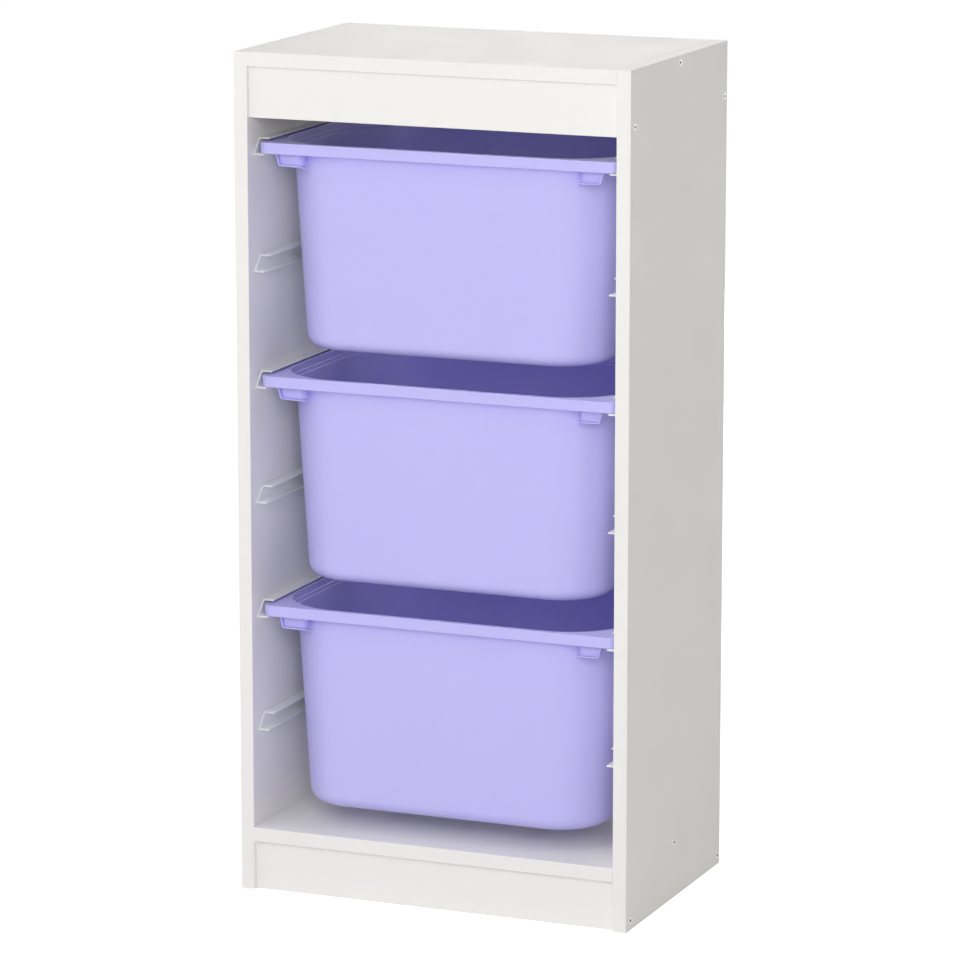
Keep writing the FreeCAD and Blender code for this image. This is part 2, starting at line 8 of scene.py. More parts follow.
import bpy
import numpy as np
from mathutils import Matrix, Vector


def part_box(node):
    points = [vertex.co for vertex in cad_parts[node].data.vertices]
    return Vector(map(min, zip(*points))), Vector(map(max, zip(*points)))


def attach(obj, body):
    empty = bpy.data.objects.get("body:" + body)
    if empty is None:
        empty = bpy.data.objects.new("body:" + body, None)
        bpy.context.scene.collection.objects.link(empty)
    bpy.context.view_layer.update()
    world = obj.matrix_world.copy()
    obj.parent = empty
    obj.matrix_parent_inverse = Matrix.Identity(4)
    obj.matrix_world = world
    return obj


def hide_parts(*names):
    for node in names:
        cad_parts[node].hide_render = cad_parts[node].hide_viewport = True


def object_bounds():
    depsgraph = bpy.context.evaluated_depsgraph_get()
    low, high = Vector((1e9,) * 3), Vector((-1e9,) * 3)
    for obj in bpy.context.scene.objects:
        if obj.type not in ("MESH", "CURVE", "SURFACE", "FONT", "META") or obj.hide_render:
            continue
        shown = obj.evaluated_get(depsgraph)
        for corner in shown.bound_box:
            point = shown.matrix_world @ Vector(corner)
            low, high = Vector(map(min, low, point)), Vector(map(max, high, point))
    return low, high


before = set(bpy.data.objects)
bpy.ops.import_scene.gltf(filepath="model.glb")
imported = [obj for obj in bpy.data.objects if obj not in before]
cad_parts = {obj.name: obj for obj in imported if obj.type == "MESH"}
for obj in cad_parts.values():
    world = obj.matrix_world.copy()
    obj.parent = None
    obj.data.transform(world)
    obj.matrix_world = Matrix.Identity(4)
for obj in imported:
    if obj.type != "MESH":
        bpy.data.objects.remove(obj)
cad_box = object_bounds()


# ---------------------------------------------------------------- side panels, top, shelf, rails and plinths
# Eight boards of 16 mm particleboard wrapped in white foil. The foil is satin, with an embossed grain so fine
# that it only dulls the shine, and it runs round the eased edges. The boards are butted and screwed.
FOIL_WHITE = (0.895, 0.884, 0.855, 1.0)
FOIL_SHADE = (0.883, 0.872, 0.843, 1.0)
FOIL_ROUGHNESS = 0.50
FOIL_SHINE = 0.20
FOIL_GRAIN_ACROSS = 900.0
FOIL_GRAIN_ALONG = 30.0
FOIL_BUMP = 0.00006
DRIFT_SCALE = 5.0
DRIFT_DETAIL = 2.0
DRIFT_SPAN = (0.35, 0.65)
RUB_SCALE = 22.0
RUB_DETAIL = 3.0
RUB_SPAN = (0.3, 0.7)
RUB_DEPTH = 0.04
GRAIN_DETAIL = 4.0
UPRIGHTS = ("side_panel_left", "side_panel_right")
LEVEL_BOARDS = (
    "top_panel", "bottom_panel", "front_top_rail", "back_top_rail", "front_plinth", "back_plinth")


def new_material(name):
    """A node material and its parts: the material, its node tree and the Principled shader."""
    material = bpy.data.materials.new(name)
    material.use_nodes = True
    tree = material.node_tree
    return material, tree, tree.nodes["Principled BSDF"]


def new_group(name, inputs, outputs):
    """An empty shader group with named sockets: the group, its input node and its output node."""
    group = bpy.data.node_groups.new(name, "ShaderNodeTree")
    for socket, kind, value in inputs:
        made = group.interface.new_socket(name=socket, in_out="INPUT", socket_type="NodeSocket" + kind)
        if value is not None:
            made.default_value = value
    for socket, kind in outputs:
        group.interface.new_socket(name=socket, in_out="OUTPUT", socket_type="NodeSocket" + kind)
    return group, group.nodes.new("NodeGroupInput"), group.nodes.new("NodeGroupOutput")


def add_noise(tree, vector, scale, detail):
    """A noise texture on a vector; it gives a value about 0.5."""
    noise = tree.nodes.new("ShaderNodeTexNoise")
    noise.inputs["Scale"].default_value = scale
    noise.inputs["Detail"].default_value = detail
    tree.links.new(vector, noise.inputs["Vector"])
    return noise.outputs["Fac"]


def add_range(tree, value, low, high, to_low, to_high):
    """A value carried from one range to another and held inside it."""
    ranged = tree.nodes.new("ShaderNodeMapRange")
    for socket, number in (("From Min", low), ("From Max", high), ("To Min", to_low), ("To Max", to_high)):
        ranged.inputs[socket].default_value = number
    tree.links.new(value, ranged.inputs["Value"])
    return ranged.outputs["Result"]


def add_mix(tree, factor, first, second):
    """Two colours mixed by a factor."""
    mix = tree.nodes.new("ShaderNodeMix")
    mix.data_type = "RGBA"
    tree.links.new(factor, mix.inputs["Factor"])
    for socket, colour in (("A", first), ("B", second)):
        target = next(s for s in mix.inputs if s.name == socket and s.type == "RGBA")
        if isinstance(colour, bpy.types.NodeSocket):
            tree.links.new(colour, target)
        else:
            target.default_value = colour
    return next(s for s in mix.outputs if s.type == "RGBA")


def add_bump(tree, shader, height, distance):
    """A fine relief, at its real height in metres, on a shader's normal."""
    bump = tree.nodes.new("ShaderNodeBump")
    bump.inputs["Strength"].default_value = 1.0
    bump.inputs["Distance"].default_value = distance
    tree.links.new(height, bump.inputs["Height"])
    tree.links.new(bump.outputs["Normal"], shader.inputs["Normal"])


def finish_skin():
    """Shared effect of a clean factory skin: tone and shine that drift slowly, and a fine relief of grain."""
    group, given, wanted = new_group(
        "factory_skin",
        (("Vector", "Vector", None), ("Grain", "Vector", None), ("Light Tone", "Color", None),
         ("Dark Tone", "Color", None), ("Roughness", "Float", 0.5)),
        (("Colour", "Color"), ("Roughness", "Float"), ("Height", "Float")),
    )
    drift = add_noise(group, given.outputs["Vector"], DRIFT_SCALE, DRIFT_DETAIL)
    tone = add_range(group, drift, *DRIFT_SPAN, 0.0, 1.0)
    colour = add_mix(group, tone, given.outputs["Light Tone"], given.outputs["Dark Tone"])
    rub = add_noise(group, given.outputs["Vector"], RUB_SCALE, RUB_DETAIL)
    rubbed = add_range(group, rub, *RUB_SPAN, -RUB_DEPTH, RUB_DEPTH)
    add = group.nodes.new("ShaderNodeMath")
    add.operation = "ADD"
    group.links.new(rubbed, add.inputs[0])
    group.links.new(given.outputs["Roughness"], add.inputs[1])
    grain = add_noise(group, given.outputs["Grain"], 1.0, GRAIN_DETAIL)
    group.links.new(colour, wanted.inputs["Colour"])
    group.links.new(add.outputs["Value"], wanted.inputs["Roughness"])
    group.links.new(grain, wanted.inputs["Height"])
    return group


FACTORY_SKIN = finish_skin()


def skin_material(name, light, dark, roughness, grain_scale, relief):
    """A material with the factory skin, its grain stretched by a scale for each axis."""
    material, tree, shader = new_material(name)
    place = tree.nodes.new("ShaderNodeTexCoord").outputs["Object"]
    grain = tree.nodes.new("ShaderNodeMapping")
    grain.inputs["Scale"].default_value = grain_scale
    tree.links.new(place, grain.inputs["Vector"])
    skin = tree.nodes.new("ShaderNodeGroup")
    skin.node_tree = FACTORY_SKIN
    skin.inputs["Light Tone"].default_value = light
    skin.inputs["Dark Tone"].default_value = dark
    skin.inputs["Roughness"].default_value = roughness
    tree.links.new(place, skin.inputs["Vector"])
    tree.links.new(grain.outputs["Vector"], skin.inputs["Grain"])
    tree.links.new(skin.outputs["Colour"], shader.inputs["Base Color"])
    tree.links.new(skin.outputs["Roughness"], shader.inputs["Roughness"])
    add_bump(tree, shader, skin.outputs["Height"], relief)
    return material, tree, shader


def dress(name, material):
    """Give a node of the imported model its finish."""
    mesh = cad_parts[name].data
    mesh.materials.clear()
    mesh.materials.append(material)


upright_grain = (FOIL_GRAIN_ACROSS, FOIL_GRAIN_ACROSS, FOIL_GRAIN_ALONG)
level_grain = (FOIL_GRAIN_ALONG, FOIL_GRAIN_ACROSS, FOIL_GRAIN_ACROSS)
for foil_name, boards, grain_scale in (
    ("foil_upright", UPRIGHTS, upright_grain),
    ("foil_level", LEVEL_BOARDS, level_grain),
):
    foil, _, foil_shader = skin_material(
        foil_name, FOIL_WHITE, FOIL_SHADE, FOIL_ROUGHNESS, grain_scale, FOIL_BUMP)
    foil_shader.inputs["Specular IOR Level"].default_value = FOIL_SHINE
    for board in boards:
        dress(board, foil)


# ---------------------------------------------------------------- screws and dowels
# Twelve zinc-plated screws with a hexagon socket, driven flush through the side panels into the ends of the
# boards, and sixteen plain beech dowels that line the boards up. Only the screw heads show.
ZINC = (0.58, 0.58, 0.59, 1.0)
# painted shade: a near-black put in the hex sockets in place of the shadow that falls in them
SOCKET_PAINTED_SHADE = (0.020, 0.020, 0.021, 1.0)
ZINC_ROUGHNESS = 0.34
ZINC_GRAIN = (1600.0, 1600.0, 1600.0)
ZINC_BUMP = 0.00001
SOCKET_SHADE_DEPTH = 0.0002
BEECH = (0.56, 0.35, 0.17, 1.0)
BEECH_DARK = (0.42, 0.24, 0.11, 1.0)
BEECH_ROUGHNESS = 0.62
BEECH_GRAIN = (60.0, 1500.0, 1500.0)
BEECH_BUMP = 0.00005


def zinc_with_painted_socket_shade(face):
    """Zinc on the flat of the heads, falling to painted shade in the socket below a side panel's outer face.
    """
    material, tree, shader = skin_material("zinc_with_painted_socket_shade", ZINC, ZINC, ZINC_ROUGHNESS, ZINC_GRAIN, ZINC_BUMP)
    place = tree.nodes.new("ShaderNodeSeparateXYZ")
    tree.links.new(tree.nodes["Texture Coordinate"].outputs["Object"], place.inputs["Vector"])
    across = tree.nodes.new("ShaderNodeMath")
    across.operation = "ABSOLUTE"
    tree.links.new(place.outputs["X"], across.inputs[0])
    # painted shade: the mask is 0 down in the socket and 1 at the head's flat face
    near_face = add_range(tree, across.outputs["Value"], face - SOCKET_SHADE_DEPTH, face, 0.0, 1.0)
    bright = shader.inputs["Base Color"].links[0].from_socket
    tree.links.new(add_mix(tree, near_face, SOCKET_PAINTED_SHADE, bright), shader.inputs["Base Color"])
    shader.inputs["Metallic"].default_value = 1.0
    return material


zinc = zinc_with_painted_socket_shade(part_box("side_panel_right")[1].x)
beech = skin_material("beech", BEECH, BEECH_DARK, BEECH_ROUGHNESS, BEECH_GRAIN, BEECH_BUMP)[0]
for side in ("left", "right"):
    dress("screws_" + side, zinc)
    dress("dowels_" + side, beech)


# ---------------------------------------------------------------- runners
# Six moulded channels on each side, of stiff white plastic, pushed into the side panel with three pegs each.
# The ends are cut on a slant, so that the lower lip reaches further out and a bin's rim drops in on it.
RUNNER_WHITE = (0.90, 0.90, 0.885, 1.0)
RUNNER_SHADE = (0.885, 0.885, 0.87, 1.0)
RUNNER_ROUGHNESS = 0.36
PLASTIC_GRAIN = (1400.0, 1400.0, 1400.0)
PLASTIC_BUMP = 0.00002
RUNNER_HEIGHT = 0.0174
RUNNER_REACH = 0.013
RUNNER_WALL = 0.0016
RUNNER_SLANT = 0.017
RUNNER_HEEL = 0.0003
RUNNER_LIP_ROUND = 0.0006
RUNNER_FILLET = 0.0008
RUNNER_END_ROUND = 0.0004
RUNNER_END_ROWS = 4
PEG_RADIUS = 0.003
PEG_LENGTH = 0.009
PEG_TIP_ROUND = 0.001
PEG_PLACES = (-0.089, 0.0, 0.089)
PEG_SIDES = 24
ROUND_STEPS = 5
SMOOTH_ANGLE = math.radians(35.0)


def rounded_path(corners, radii, steps, closed):
    """A line of straight runs with its corners rounded, as an array of points.

    At a corner with unit vectors a and b towards its neighbours and an angle t between them, the arc's centre
    is corner + (a + b) / |a + b| * radius / sin(t / 2), and it touches the runs at radius / tan(t / 2). The
    points of the arc come from its first radius turned to its last by equal steps.
    """
    corners = np.asarray(corners, float)
    middle = corners if closed else corners[1:-1]
    before = np.roll(corners, 1, 0) if closed else corners[:-2]
    after = np.roll(corners, -1, 0) if closed else corners[2:]
    radius = np.asarray(radii, float)[:, None]
    a, b = before - middle, after - middle
    a /= np.linalg.norm(a, axis=1, keepdims=True)
    b /= np.linalg.norm(b, axis=1, keepdims=True)
    half = np.arccos(np.clip((a * b).sum(1, keepdims=True), -1, 1)) / 2
    centre = middle + (a + b) / np.linalg.norm(a + b, axis=1, keepdims=True) * radius / np.sin(half)
    first = middle + a * radius / np.tan(half) - centre
    last = middle + b * radius / np.tan(half) - centre
    turn = np.pi - 2 * half
    share = np.linspace(0, 1, steps + 1)[None, :, None]
    arc = np.sin((1 - share) * turn[:, None]) * first[:, None] + np.sin(share * turn[:, None]) * last[:, None]
    points = (centre[:, None] + arc / np.sin(turn[:, None])).reshape(-1, corners.shape[1])
    return points if closed else np.vstack((corners[:1], points, corners[-1:]))


def tube_faces(rows, columns):
    """Faces of a grid of rows x columns points that closes round each row, with a flat end on each side."""
    row, column = np.meshgrid(np.arange(rows - 1), np.arange(columns), indexing="ij")
    near, far = row * columns, (row + 1) * columns
    beside = (column + 1) % columns
    quads = np.stack((near + column, near + beside, far + beside, far + column), -1).reshape(-1, 4)
    first_end = np.arange(columns)[::-1]
    last_end = np.arange(columns) + (rows - 1) * columns
    return quads.tolist() + [first_end.tolist(), last_end.tolist()]


def shell(grid, mirrored=False):
    """One closed skin from a grid of points, rows x columns x 3: its points and its outward faces."""
    faces = tube_faces(*grid.shape[:2])
    if mirrored:
        faces = [face[::-1] for face in faces]
    return grid.reshape(-1, 3), faces


def new_piece(name, shells, material):
    """A smooth piece from closed skins; the flat faces keep their own normals and the small rounds blend."""
    points = np.vstack([skin[0] for skin in shells])
    starts = np.cumsum([0] + [len(skin[0]) for skin in shells[:-1]])
    faces = [[corner + int(start) for corner in face]
             for skin, start in zip(shells, starts) for face in skin[1]]
    mesh = bpy.data.meshes.new(name)
    mesh.from_pydata(points.tolist(), [], faces)
    mesh.polygons.foreach_set("use_smooth", np.ones(len(faces), bool))
    mesh.set_sharp_from_angle(angle=SMOOTH_ANGLE)
    mesh.materials.append(material)
    piece = bpy.data.objects.new(name, mesh)
    bpy.context.scene.collection.objects.link(piece)
    flat = piece.modifiers.new("flat_faces", "WEIGHTED_NORMAL")
    flat.keep_sharp = True
    return piece


def panel_face(low, high, side):
    """The x of the side panel's inner face, where a runner's wall stands and its pegs go in."""
    return high.x - PEG_LENGTH if side > 0 else low.x + PEG_LENGTH


def runner_channel(low, high, side):
    """The C section carried along the side panel: its wall stands at the panel and its lips reach inwards.

    Both ends are slanted planes: a point at height h above the foot ends at half length - slant * h / height.
    The last rows are drawn in by a quarter circle for the small round of a moulded edge.
    """
    section = rounded_path(
        ((0, 0), (RUNNER_REACH, 0), (RUNNER_REACH, RUNNER_WALL), (RUNNER_WALL, RUNNER_WALL),
         (RUNNER_WALL, RUNNER_HEIGHT - RUNNER_WALL), (RUNNER_REACH, RUNNER_HEIGHT - RUNNER_WALL),
         (RUNNER_REACH, RUNNER_HEIGHT), (0, RUNNER_HEIGHT)),
        (RUNNER_HEEL, RUNNER_LIP_ROUND, RUNNER_LIP_ROUND, RUNNER_FILLET, RUNNER_FILLET, RUNNER_LIP_ROUND,
         RUNNER_LIP_ROUND, RUNNER_HEEL), ROUND_STEPS, True)
    edge = np.roll(section, -1, 0) - np.roll(section, 1, 0)
    inward = np.stack((-edge[:, 1], edge[:, 0]), 1) / np.linalg.norm(edge, axis=1, keepdims=True)
    quarter = np.linspace(0, np.pi / 2, RUNNER_END_ROWS)
    drawn_in = RUNNER_END_ROUND * (1 - np.cos(quarter))
    short = RUNNER_END_ROUND * (1 - np.sin(quarter))
    end = (high.y - low.y) / 2 - RUNNER_SLANT * section[:, 1] / RUNNER_HEIGHT
    inset = np.concatenate((drawn_in[::-1], drawn_in))
    along = np.repeat((-1.0, 1.0), RUNNER_END_ROWS)
    back_off = np.concatenate((short[::-1], short))
    profile = section + inset[:, None, None] * inward
    y = along[:, None] * (end - back_off[:, None]) + (high.y + low.y) / 2
    x = panel_face(low, high, side) - side * profile[..., 0]
    grid = np.stack((x, y, low.z + profile[..., 1]), -1)
    return shell(grid, mirrored=side < 0)


def runner_peg(low, high, side, place):
    """A round peg with a rounded tip: a circle carried outwards, drawn in by a quarter circle at the tip."""
    round_off = np.linspace(0, np.pi / 2, ROUND_STEPS)
    tip_radius = PEG_RADIUS - PEG_TIP_ROUND * (1 - np.cos(round_off[1:]))
    tip_reach = PEG_LENGTH - PEG_TIP_ROUND * (1 - np.sin(round_off[1:]))
    radius = np.concatenate(([PEG_RADIUS, PEG_RADIUS], tip_radius))
    reach = np.concatenate(([-RUNNER_WALL / 2, PEG_LENGTH - PEG_TIP_ROUND], tip_reach))
    turn = np.linspace(0, 2 * np.pi, PEG_SIDES, endpoint=False)
    x = np.repeat((panel_face(low, high, side) + side * reach)[:, None], turn.size, 1)
    y = place + radius[:, None] * np.cos(turn)
    z = low.z + RUNNER_HEIGHT / 2 + radius[:, None] * np.sin(turn)
    return shell(np.stack((x, y, z), -1), mirrored=side < 0)


runner_plastic = skin_material(
    "runner_plastic", RUNNER_WHITE, RUNNER_SHADE, RUNNER_ROUGHNESS, PLASTIC_GRAIN, PLASTIC_BUMP)[0]
for side, sign in (("left", -1), ("right", 1)):
    for number in range(1, 7):
        node = "runner_%s_%d" % (side, number)
        low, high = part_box(node)
        skins = [runner_channel(low, high, sign)]
        skins += [runner_peg(low, high, sign, place) for place in PEG_PLACES]
        moulding = new_piece(node + "_moulding", skins, runner_plastic)
        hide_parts(node)
        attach(moulding, "frame")


# ---------------------------------------------------------------- bins
# Three bins moulded in one piece from lavender polypropylene: a flanged rim with a skirt, two small ledges
# inside, walls that taper to a rounded base, and a stop under each corner that keeps stacked bins apart.
LAVENDER = (0.557, 0.527, 0.970, 1.0)
LAVENDER_DEEP = (0.547, 0.517, 0.965, 1.0)
BIN_ROUGHNESS = 0.40
BIN_TRANSLUCENCE = 0.20
BIN_SCATTER = (0.30, 0.25, 1.00)
BIN_SCATTER_SCALE = 0.006
RIM_HEIGHT = 0.012
BODY_INSET = 0.0107
BODY_CORNER = 0.0798
BODY_TOP = -0.0016
CAVITY_INSET = 0.0123
CAVITY_TOP = 0.0
SIDE_TAPER = 0.0205
END_TAPER = 0.0035
CORNER_TAPER = 0.0198
BIN_DROP = 0.2168
BIN_WALL = 0.0016
BASE_ROUND = 0.015
BASE_ROWS = 12
WALL_ROWS = 7
CORNER_STEPS = 32
# the section over the rim, from the outside of the body to the top of the cavity: inset from the rim's edge
# at the sides and at the ends, height above the rim's foot, corner radius in plan, radius of the edge itself
RIM_SECTION = (
    (0.0107, 0.0107, -0.0016, 0.0798, 0.0003),
    (0.0088, 0.0069, -0.0016, 0.0727, 0.0003),
    (0.0088, 0.0069, 0.0022, 0.0727, 0.0003),
    (0.0069, 0.0050, 0.0022, 0.0746, 0.0003),
    (0.0069, 0.0050, 0.0102, 0.0746, 0.0004),
    (0.0018, 0.0018, 0.0102, 0.0082, 0.0005),
    (0.0018, 0.0018, 0.0000, 0.0082, 0.0003),
    (0.0000, 0.0000, 0.0000, 0.0100, 0.0005),
    (0.0000, 0.0000, 0.0120, 0.0100, 0.0012),
    (0.0085, 0.0066, 0.0120, 0.0730, 0.0008),
    (0.0085, 0.0066, 0.0038, 0.0730, 0.0003),
    (0.0104, 0.0085, 0.0038, 0.0711, 0.0006),
    (0.0104, 0.0085, 0.0000, 0.0711, 0.0003),
    (0.0123, 0.0123, 0.0000, 0.0782, 0.0006),
)
RIM_LEAD = 0.02
FOOT_RING_WIDTH = 0.012
FOOT_RECESS = 0.0004
STOP_TOP = 0.0102
STOP_BOTTOM = -0.0132
STOP_OUT_X = 0.1906
STOP_IN_X = 0.1612
STOP_LEAN = 0.26
STOP_WALL = 0.0016
STOP_FACE_Y = 0.1295
STOP_BACK_Y = 0.1195
STOP_ROOT_Y = 0.1165
STOP_ROUND = 0.0090
STOP_ROUNDS = (0.0004, 0.0004, 0.0026, STOP_ROUND, 0.0002, 0.0002, STOP_ROUND - STOP_WALL, 0.0010)
STOP_ROWS = 6
BEAD_FRONT_Y = 0.1335
BEAD_BACK_Y = 0.1287
BEAD_WIDTH = 0.0015
BEAD_HOOK = 0.0044
BEAD_FADE = 0.0140
BEAD_BENDS = (0.0022, 0.0030)
BEAD_BEND_STEPS = 8
BEAD_STEPS = 120
BEAD_ROUNDS = (0.0001, 0.0001, 0.0006, 0.0006)


def tapered(z, top_inset, taper, top, drop, radius):
    """Inset of a drafted wall with a rounded foot, at heights z.

    The straight wall runs from top_inset at the top to top_inset + taper at -drop. The foot is a circle of a
    radius that touches both the floor at -drop and that line, so below its touching point the inset is the
    circle centre's inset less sqrt(radius^2 - (centre height - z)^2).
    """
    slope = taper / (top + drop)
    lean = math.atan(slope)
    line = top_inset + slope * (top - z)
    touch = -drop + radius * (1 - math.sin(lean))
    centre = top_inset + slope * (top - touch) + radius * math.cos(lean)
    foot = centre - np.sqrt(np.clip(radius ** 2 - (radius - drop - z) ** 2, 0, None))
    return line, np.where(z < touch, foot, line)


def wall_rows(top_inset, top_corner, top, drop, radius):
    """Rows of one side of the bin's wall from its foot to its top: inset in x and y, corner and height.

    The rows of the foot follow a quarter circle, floor + radius * (1 - cos t), and the wall's are even.
    """
    turn = np.linspace(0, np.pi / 2, BASE_ROWS)
    foot = -drop + radius * (1 - np.cos(turn))
    height = np.concatenate((foot, np.linspace(foot[-1], top, WALL_ROWS + 1)[1:]))
    line_x, inset_x = tapered(height, top_inset, SIDE_TAPER, top, drop, radius)
    line_y, inset_y = tapered(height, top_inset, END_TAPER, top, drop, radius)
    straight = top_corner - CORNER_TAPER * (top - height) / (top + drop)
    corner = straight - (inset_x - line_x + inset_y - line_y) / 2
    return inset_x, inset_y, corner, height


def rim_rows():
    """Rows over the rim: the section with its edges rounded.

    A row that an edge's round draws in by some amount has its corner in plan smaller by the same amount.
    """
    section = np.array(RIM_SECTION)
    below = np.array((0.0, 0.0, RIM_LEAD))
    corners = np.vstack((section[0, :3] - below, section[:, :3], section[-1, :3] - below))
    path = rounded_path(corners, section[:, 4], ROUND_STEPS, False)[1:-1]
    nearest = section[np.repeat(np.arange(len(section)), ROUND_STEPS + 1)]
    return path[:, 0], path[:, 1], nearest[:, 3] - (path[:, 0] - nearest[:, 0]), path[:, 2]


def rounded_rings(half_x, half_y, corner, height):
    """Level rings of a rounded rectangle, one a row.

    A point is its corner's centre, (half_x - corner, half_y - corner) with the corner's signs, plus the
    corner radius turned by an angle that runs through all four quarters.
    """
    quarter = np.linspace(0, np.pi / 2, CORNER_STEPS + 1)
    angle = (np.arange(4)[:, None] * np.pi / 2 + quarter).ravel()
    to_x = np.repeat((1, -1, -1, 1), CORNER_STEPS + 1)
    to_y = np.repeat((1, 1, -1, -1), CORNER_STEPS + 1)
    x = (half_x - corner)[:, None] * to_x + corner[:, None] * np.cos(angle)
    y = (half_y - corner)[:, None] * to_y + corner[:, None] * np.sin(angle)
    return np.stack((x, y, np.repeat(height[:, None], angle.size, 1)), -1)


def bin_body(half_x, half_y):
    """The bin's skin: level rings carried over the foot ring, outer wall, rim, inner wall and floor."""
    outer = wall_rows(BODY_INSET, BODY_CORNER, BODY_TOP, BIN_DROP, BASE_ROUND)
    inner = wall_rows(
        CAVITY_INSET, BODY_CORNER - BIN_WALL, CAVITY_TOP, BIN_DROP - BIN_WALL, BASE_ROUND - BIN_WALL)
    foot = [np.repeat(values[0], 3) for values in outer]
    ring = np.array((FOOT_RING_WIDTH + FOOT_RECESS, FOOT_RING_WIDTH + FOOT_RECESS / 4, FOOT_RING_WIDTH))
    foot[0], foot[1], foot[2] = foot[0] + ring, foot[1] + ring, foot[2] - ring
    foot[3] = foot[3] + np.array((FOOT_RECESS, FOOT_RECESS * 0.75, 0.0))
    rows = [np.concatenate((start, wall[:-1], rim, lining[-2::-1]))
            for start, wall, rim, lining in zip(foot, outer, rim_rows(), inner)]
    return rounded_rings(half_x - rows[0], half_y - rows[1], rows[2], rows[3])


def stop_wall(to_x, to_y):
    """The stop's wall under one corner: a U in plan, hung from the rim and cut off below.

    The plan turns back to the body in a wide round. It is carried down from inside the rim to the stop's
    foot, and its outer leg leans in on the way: x + lean * height * share, with a share of 1 at that leg.
    """
    plan = rounded_path(
        ((STOP_OUT_X - STOP_WALL, STOP_BACK_Y), (STOP_OUT_X, STOP_BACK_Y), (STOP_OUT_X, STOP_FACE_Y),
         (STOP_IN_X, STOP_FACE_Y), (STOP_IN_X, STOP_ROOT_Y), (STOP_IN_X + STOP_WALL, STOP_ROOT_Y),
         (STOP_IN_X + STOP_WALL, STOP_FACE_Y - STOP_WALL), (STOP_OUT_X - STOP_WALL, STOP_FACE_Y - STOP_WALL)),
        STOP_ROUNDS, ROUND_STEPS, True)
    leans = np.clip((plan[:, 0] - STOP_IN_X) / (STOP_OUT_X - STOP_IN_X), 0, 1)
    height = np.linspace(STOP_TOP, STOP_BOTTOM, STOP_ROWS)[:, None]
    x = plan[:, 0] + STOP_LEAN * height * leans
    y = np.repeat(plan[None, :, 1], STOP_ROWS, 0)
    grid = np.stack((to_x * x, to_y * y, np.repeat(height, len(plan), 1)), -1)
    return grid, to_x * to_y > 0


def stop_bead(to_x, to_y):
    """The raised edge of a stop: a flat strip down its outer side, along its foot and curling to the wall.

    The path lies in the plane of the face. Across it the strip is a rounded rectangle. Over the last stretch
    the front and the back of the strip fall back to the wall by the share 1 - sqrt(1 - t^2), a quarter circle
    in t, which grows from 0 to 1 there.
    """
    foot = STOP_BOTTOM - BEAD_WIDTH / 2
    path = rounded_path(
        ((STOP_OUT_X + STOP_LEAN * STOP_TOP, STOP_TOP), (STOP_OUT_X + STOP_LEAN * STOP_BOTTOM, STOP_BOTTOM),
         (STOP_IN_X + STOP_WALL, foot), (STOP_IN_X + STOP_WALL - BEAD_HOOK, foot - BEAD_HOOK)),
        BEAD_BENDS, BEAD_BEND_STEPS, False)
    run = np.concatenate(([0], np.cumsum(np.linalg.norm(np.diff(path, axis=0), axis=1))))
    length = np.linspace(0, run[-1], BEAD_STEPS)
    path = np.stack((np.interp(length, run, path[:, 0]), np.interp(length, run, path[:, 1])), 1)
    step = np.gradient(path, axis=0)
    across = np.stack((-step[:, 1], step[:, 0]), 1) / np.linalg.norm(step, axis=1, keepdims=True)
    share = 1 - np.sqrt(1 - np.clip((length - length[-1] + BEAD_FADE) / BEAD_FADE, 0, 1) ** 2)
    front = BEAD_FRONT_Y + share * (STOP_ROOT_Y + BEAD_WIDTH - BEAD_FRONT_Y)
    back = BEAD_BACK_Y + share * (STOP_ROOT_Y - BEAD_BACK_Y)
    half, depth = BEAD_WIDTH / 2, BEAD_FRONT_Y - BEAD_BACK_Y
    section = rounded_path(((-half, 0.0), (half, 0.0), (half, depth), (-half, depth)),
                           BEAD_ROUNDS, ROUND_STEPS, True)
    x = path[:, :1] + across[:, :1] * section[:, 0]
    z = path[:, 1:] + across[:, 1:] * section[:, 0]
    y = back[:, None] + (front - back)[:, None] * section[:, 1] / depth
    return np.stack((to_x * x, to_y * y, z), -1), to_x * to_y > 0


bin_plastic, _, bin_shader = skin_material(
    "bin_plastic", LAVENDER, LAVENDER_DEEP, BIN_ROUGHNESS, PLASTIC_GRAIN, PLASTIC_BUMP)
bin_shader.inputs["Subsurface Weight"].default_value = BIN_TRANSLUCENCE
bin_shader.inputs["Subsurface Radius"].default_value = BIN_SCATTER
bin_shader.inputs["Subsurface Scale"].default_value = BIN_SCATTER_SCALE
for name in ("bin_top", "bin_middle", "bin_bottom"):
    low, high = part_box(name)
    middle = np.array(((low.x + high.x) / 2, (low.y + high.y) / 2, high.z - RIM_HEIGHT))
    skins = [shell(bin_body((high.x - low.x) / 2, (high.y - low.y) / 2) + middle)]
    for to_x in (1, -1):
        for to_y in (1, -1):
            for grid, mirrored in (stop_wall(to_x, to_y), stop_bead(to_x, to_y)):
                skins.append(shell(grid + middle, mirrored))
    moulding = new_piece(name + "_moulding", skins, bin_plastic)
    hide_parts(name)
    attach(moulding, name)


# ---------------------------------------------------------------- floor and light
# A plain white studio: a floor, an even white sky and eight square soft lamps. The one in front and the one
# behind the frame give most of the light, and the others lift the top, the sides and the corners.
FLOOR_SIZE = 60.0
FLOOR_WHITE = (0.92, 0.92, 0.92, 1.0)
SKY_LIGHT = 0.12
FLOOR_GLOW = 0.90
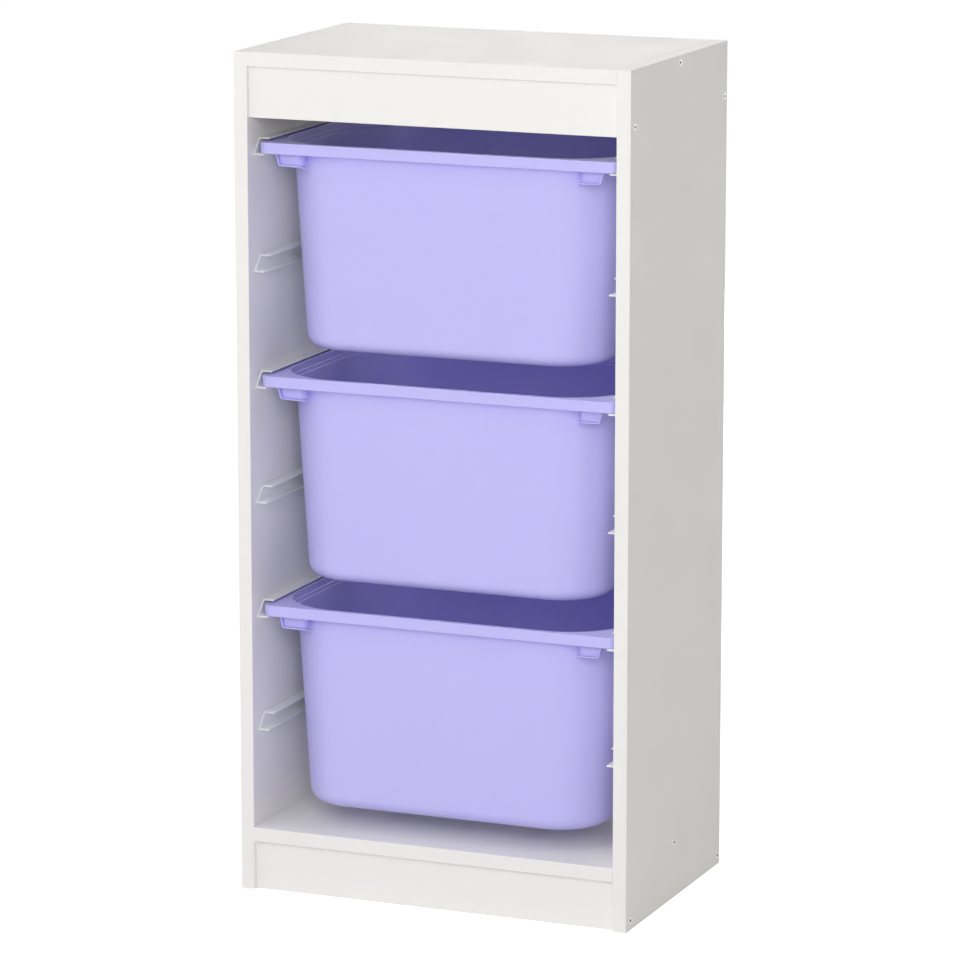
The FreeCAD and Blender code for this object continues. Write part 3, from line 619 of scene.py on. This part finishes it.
# the soft lamps: name, direction from the middle of the frame, distance, width and watts
STUDIO_LAMPS = (
    ("top_lamp", (0.000, 0.020, 1.000), 4.0, 2.0, 28.0),
    ("left_lamp", (-0.785, -0.453, 0.423), 4.0, 3.0, 36.0),
    ("right_lamp", (0.930, 0.300, 0.200), 4.0, 2.5, 11.0),
    ("high_lamp", (-0.087, -0.492, 0.866), 4.0, 1.6, 13.0),
    ("front_high_lamp", (-0.229, -0.853, 0.469), 4.0, 2.2, 23.0),
    ("front_lamp", (0.382, -0.900, 0.300), 4.5, 2.0, 75.0),
    ("back_right_lamp", (0.340, 0.935, 0.105), 4.0, 2.5, 22.0),
    ("back_lamp", (-0.173, 0.982, 0.070), 4.0, 2.5, 62.0),
)


def seen_directly(tree):
    """1 on a ray from the camera, or one that a mirror or glass sends on, and 0 on scattered light."""
    path = tree.nodes.new("ShaderNodeLightPath")
    total = path.outputs["Is Camera Ray"]
    for kind in ("Is Glossy Ray", "Is Transmission Ray"):
        either = tree.nodes.new("ShaderNodeMath")
        either.operation = "MAXIMUM"
        tree.links.new(total, either.inputs[0])
        tree.links.new(path.outputs[kind], either.inputs[1])
        total = either.outputs["Value"]
    return total


def studio_floor():
    """A wide level square with a white that keeps the object's shadow and otherwise shows as plain white."""
    half = FLOOR_SIZE / 2
    mesh = bpy.data.meshes.new("floor")
    corners = [(-half, -half, 0), (half, -half, 0), (half, half, 0), (-half, half, 0)]
    mesh.from_pydata(corners, [], [(0, 1, 2, 3)])
    floor = bpy.data.objects.new("floor", mesh)
    bpy.context.scene.collection.objects.link(floor)
    material, tree, shader = new_material("floor_white")
    shader.inputs["Base Color"].default_value = FLOOR_WHITE
    shader.inputs["Roughness"].default_value = 1.0
    shader.inputs["Specular IOR Level"].default_value = 0.0
    glow = tree.nodes.new("ShaderNodeEmission")
    glow.inputs["Strength"].default_value = FLOOR_GLOW
    both = tree.nodes.new("ShaderNodeAddShader")
    tree.links.new(shader.outputs["BSDF"], both.inputs[0])
    tree.links.new(glow.outputs["Emission"], both.inputs[1])
    seen = seen_directly(tree)
    mix = tree.nodes.new("ShaderNodeMixShader")
    tree.links.new(seen, mix.inputs["Fac"])
    tree.links.new(shader.outputs["BSDF"], mix.inputs[1])
    tree.links.new(both.outputs["Shader"], mix.inputs[2])
    tree.links.new(mix.outputs["Shader"], tree.nodes["Material Output"].inputs["Surface"])
    mesh.materials.append(material)


def studio_sky():
    """A plain world: white where it is seen, dimmer where it lights."""
    world = bpy.data.worlds.new("studio_sky")
    world.use_nodes = True
    tree = world.node_tree
    strength = add_range(tree, seen_directly(tree), 0.0, 1.0, SKY_LIGHT, 1.0)
    tree.links.new(strength, tree.nodes["Background"].inputs["Strength"])
    tree.nodes["Background"].inputs["Color"].default_value = (1.0, 1.0, 1.0, 1.0)
    bpy.context.scene.world = world


def soft_lamp(name, towards, distance, width, watts):
    """A square lamp that stands off the middle of the frame in a direction and faces it."""
    lamp = bpy.data.lights.new(name, "AREA")
    lamp.size = width
    lamp.energy = watts
    holder = bpy.data.objects.new(name, lamp)
    middle = (cad_box[0] + cad_box[1]) / 2
    direction = Vector(towards).normalized()
    holder.location = middle + direction * distance
    holder.rotation_euler = direction.to_track_quat("Z", "Y").to_euler()
    bpy.context.scene.collection.objects.link(holder)


studio_floor()
studio_sky()
for lamp_name, towards, distance, width, watts in STUDIO_LAMPS:
    soft_lamp(lamp_name, towards, distance, width, watts)


# ---------------------------------------------------------------- camera
# The photograph's viewing angle and distance, with a lens that takes in the whole frame.
CAMERA_PLACE = (2.0472, -4.9530, 1.5647)
CAMERA_TURN = 0.3925
CAMERA_DIP = 0.2040
CAMERA_LENS = 184.73
CAMERA_SENSOR = 36.0
camera = bpy.data.objects.new("camera", bpy.data.cameras.new("camera"))
camera.location = CAMERA_PLACE
camera.rotation_euler = (math.pi / 2 - CAMERA_DIP, 0.0, CAMERA_TURN)
camera.data.lens = CAMERA_LENS
camera.data.sensor_width = CAMERA_SENSOR
bpy.context.scene.collection.objects.link(camera)
bpy.context.scene.camera = camera
bpy.context.scene.view_settings.view_transform = "Standard"
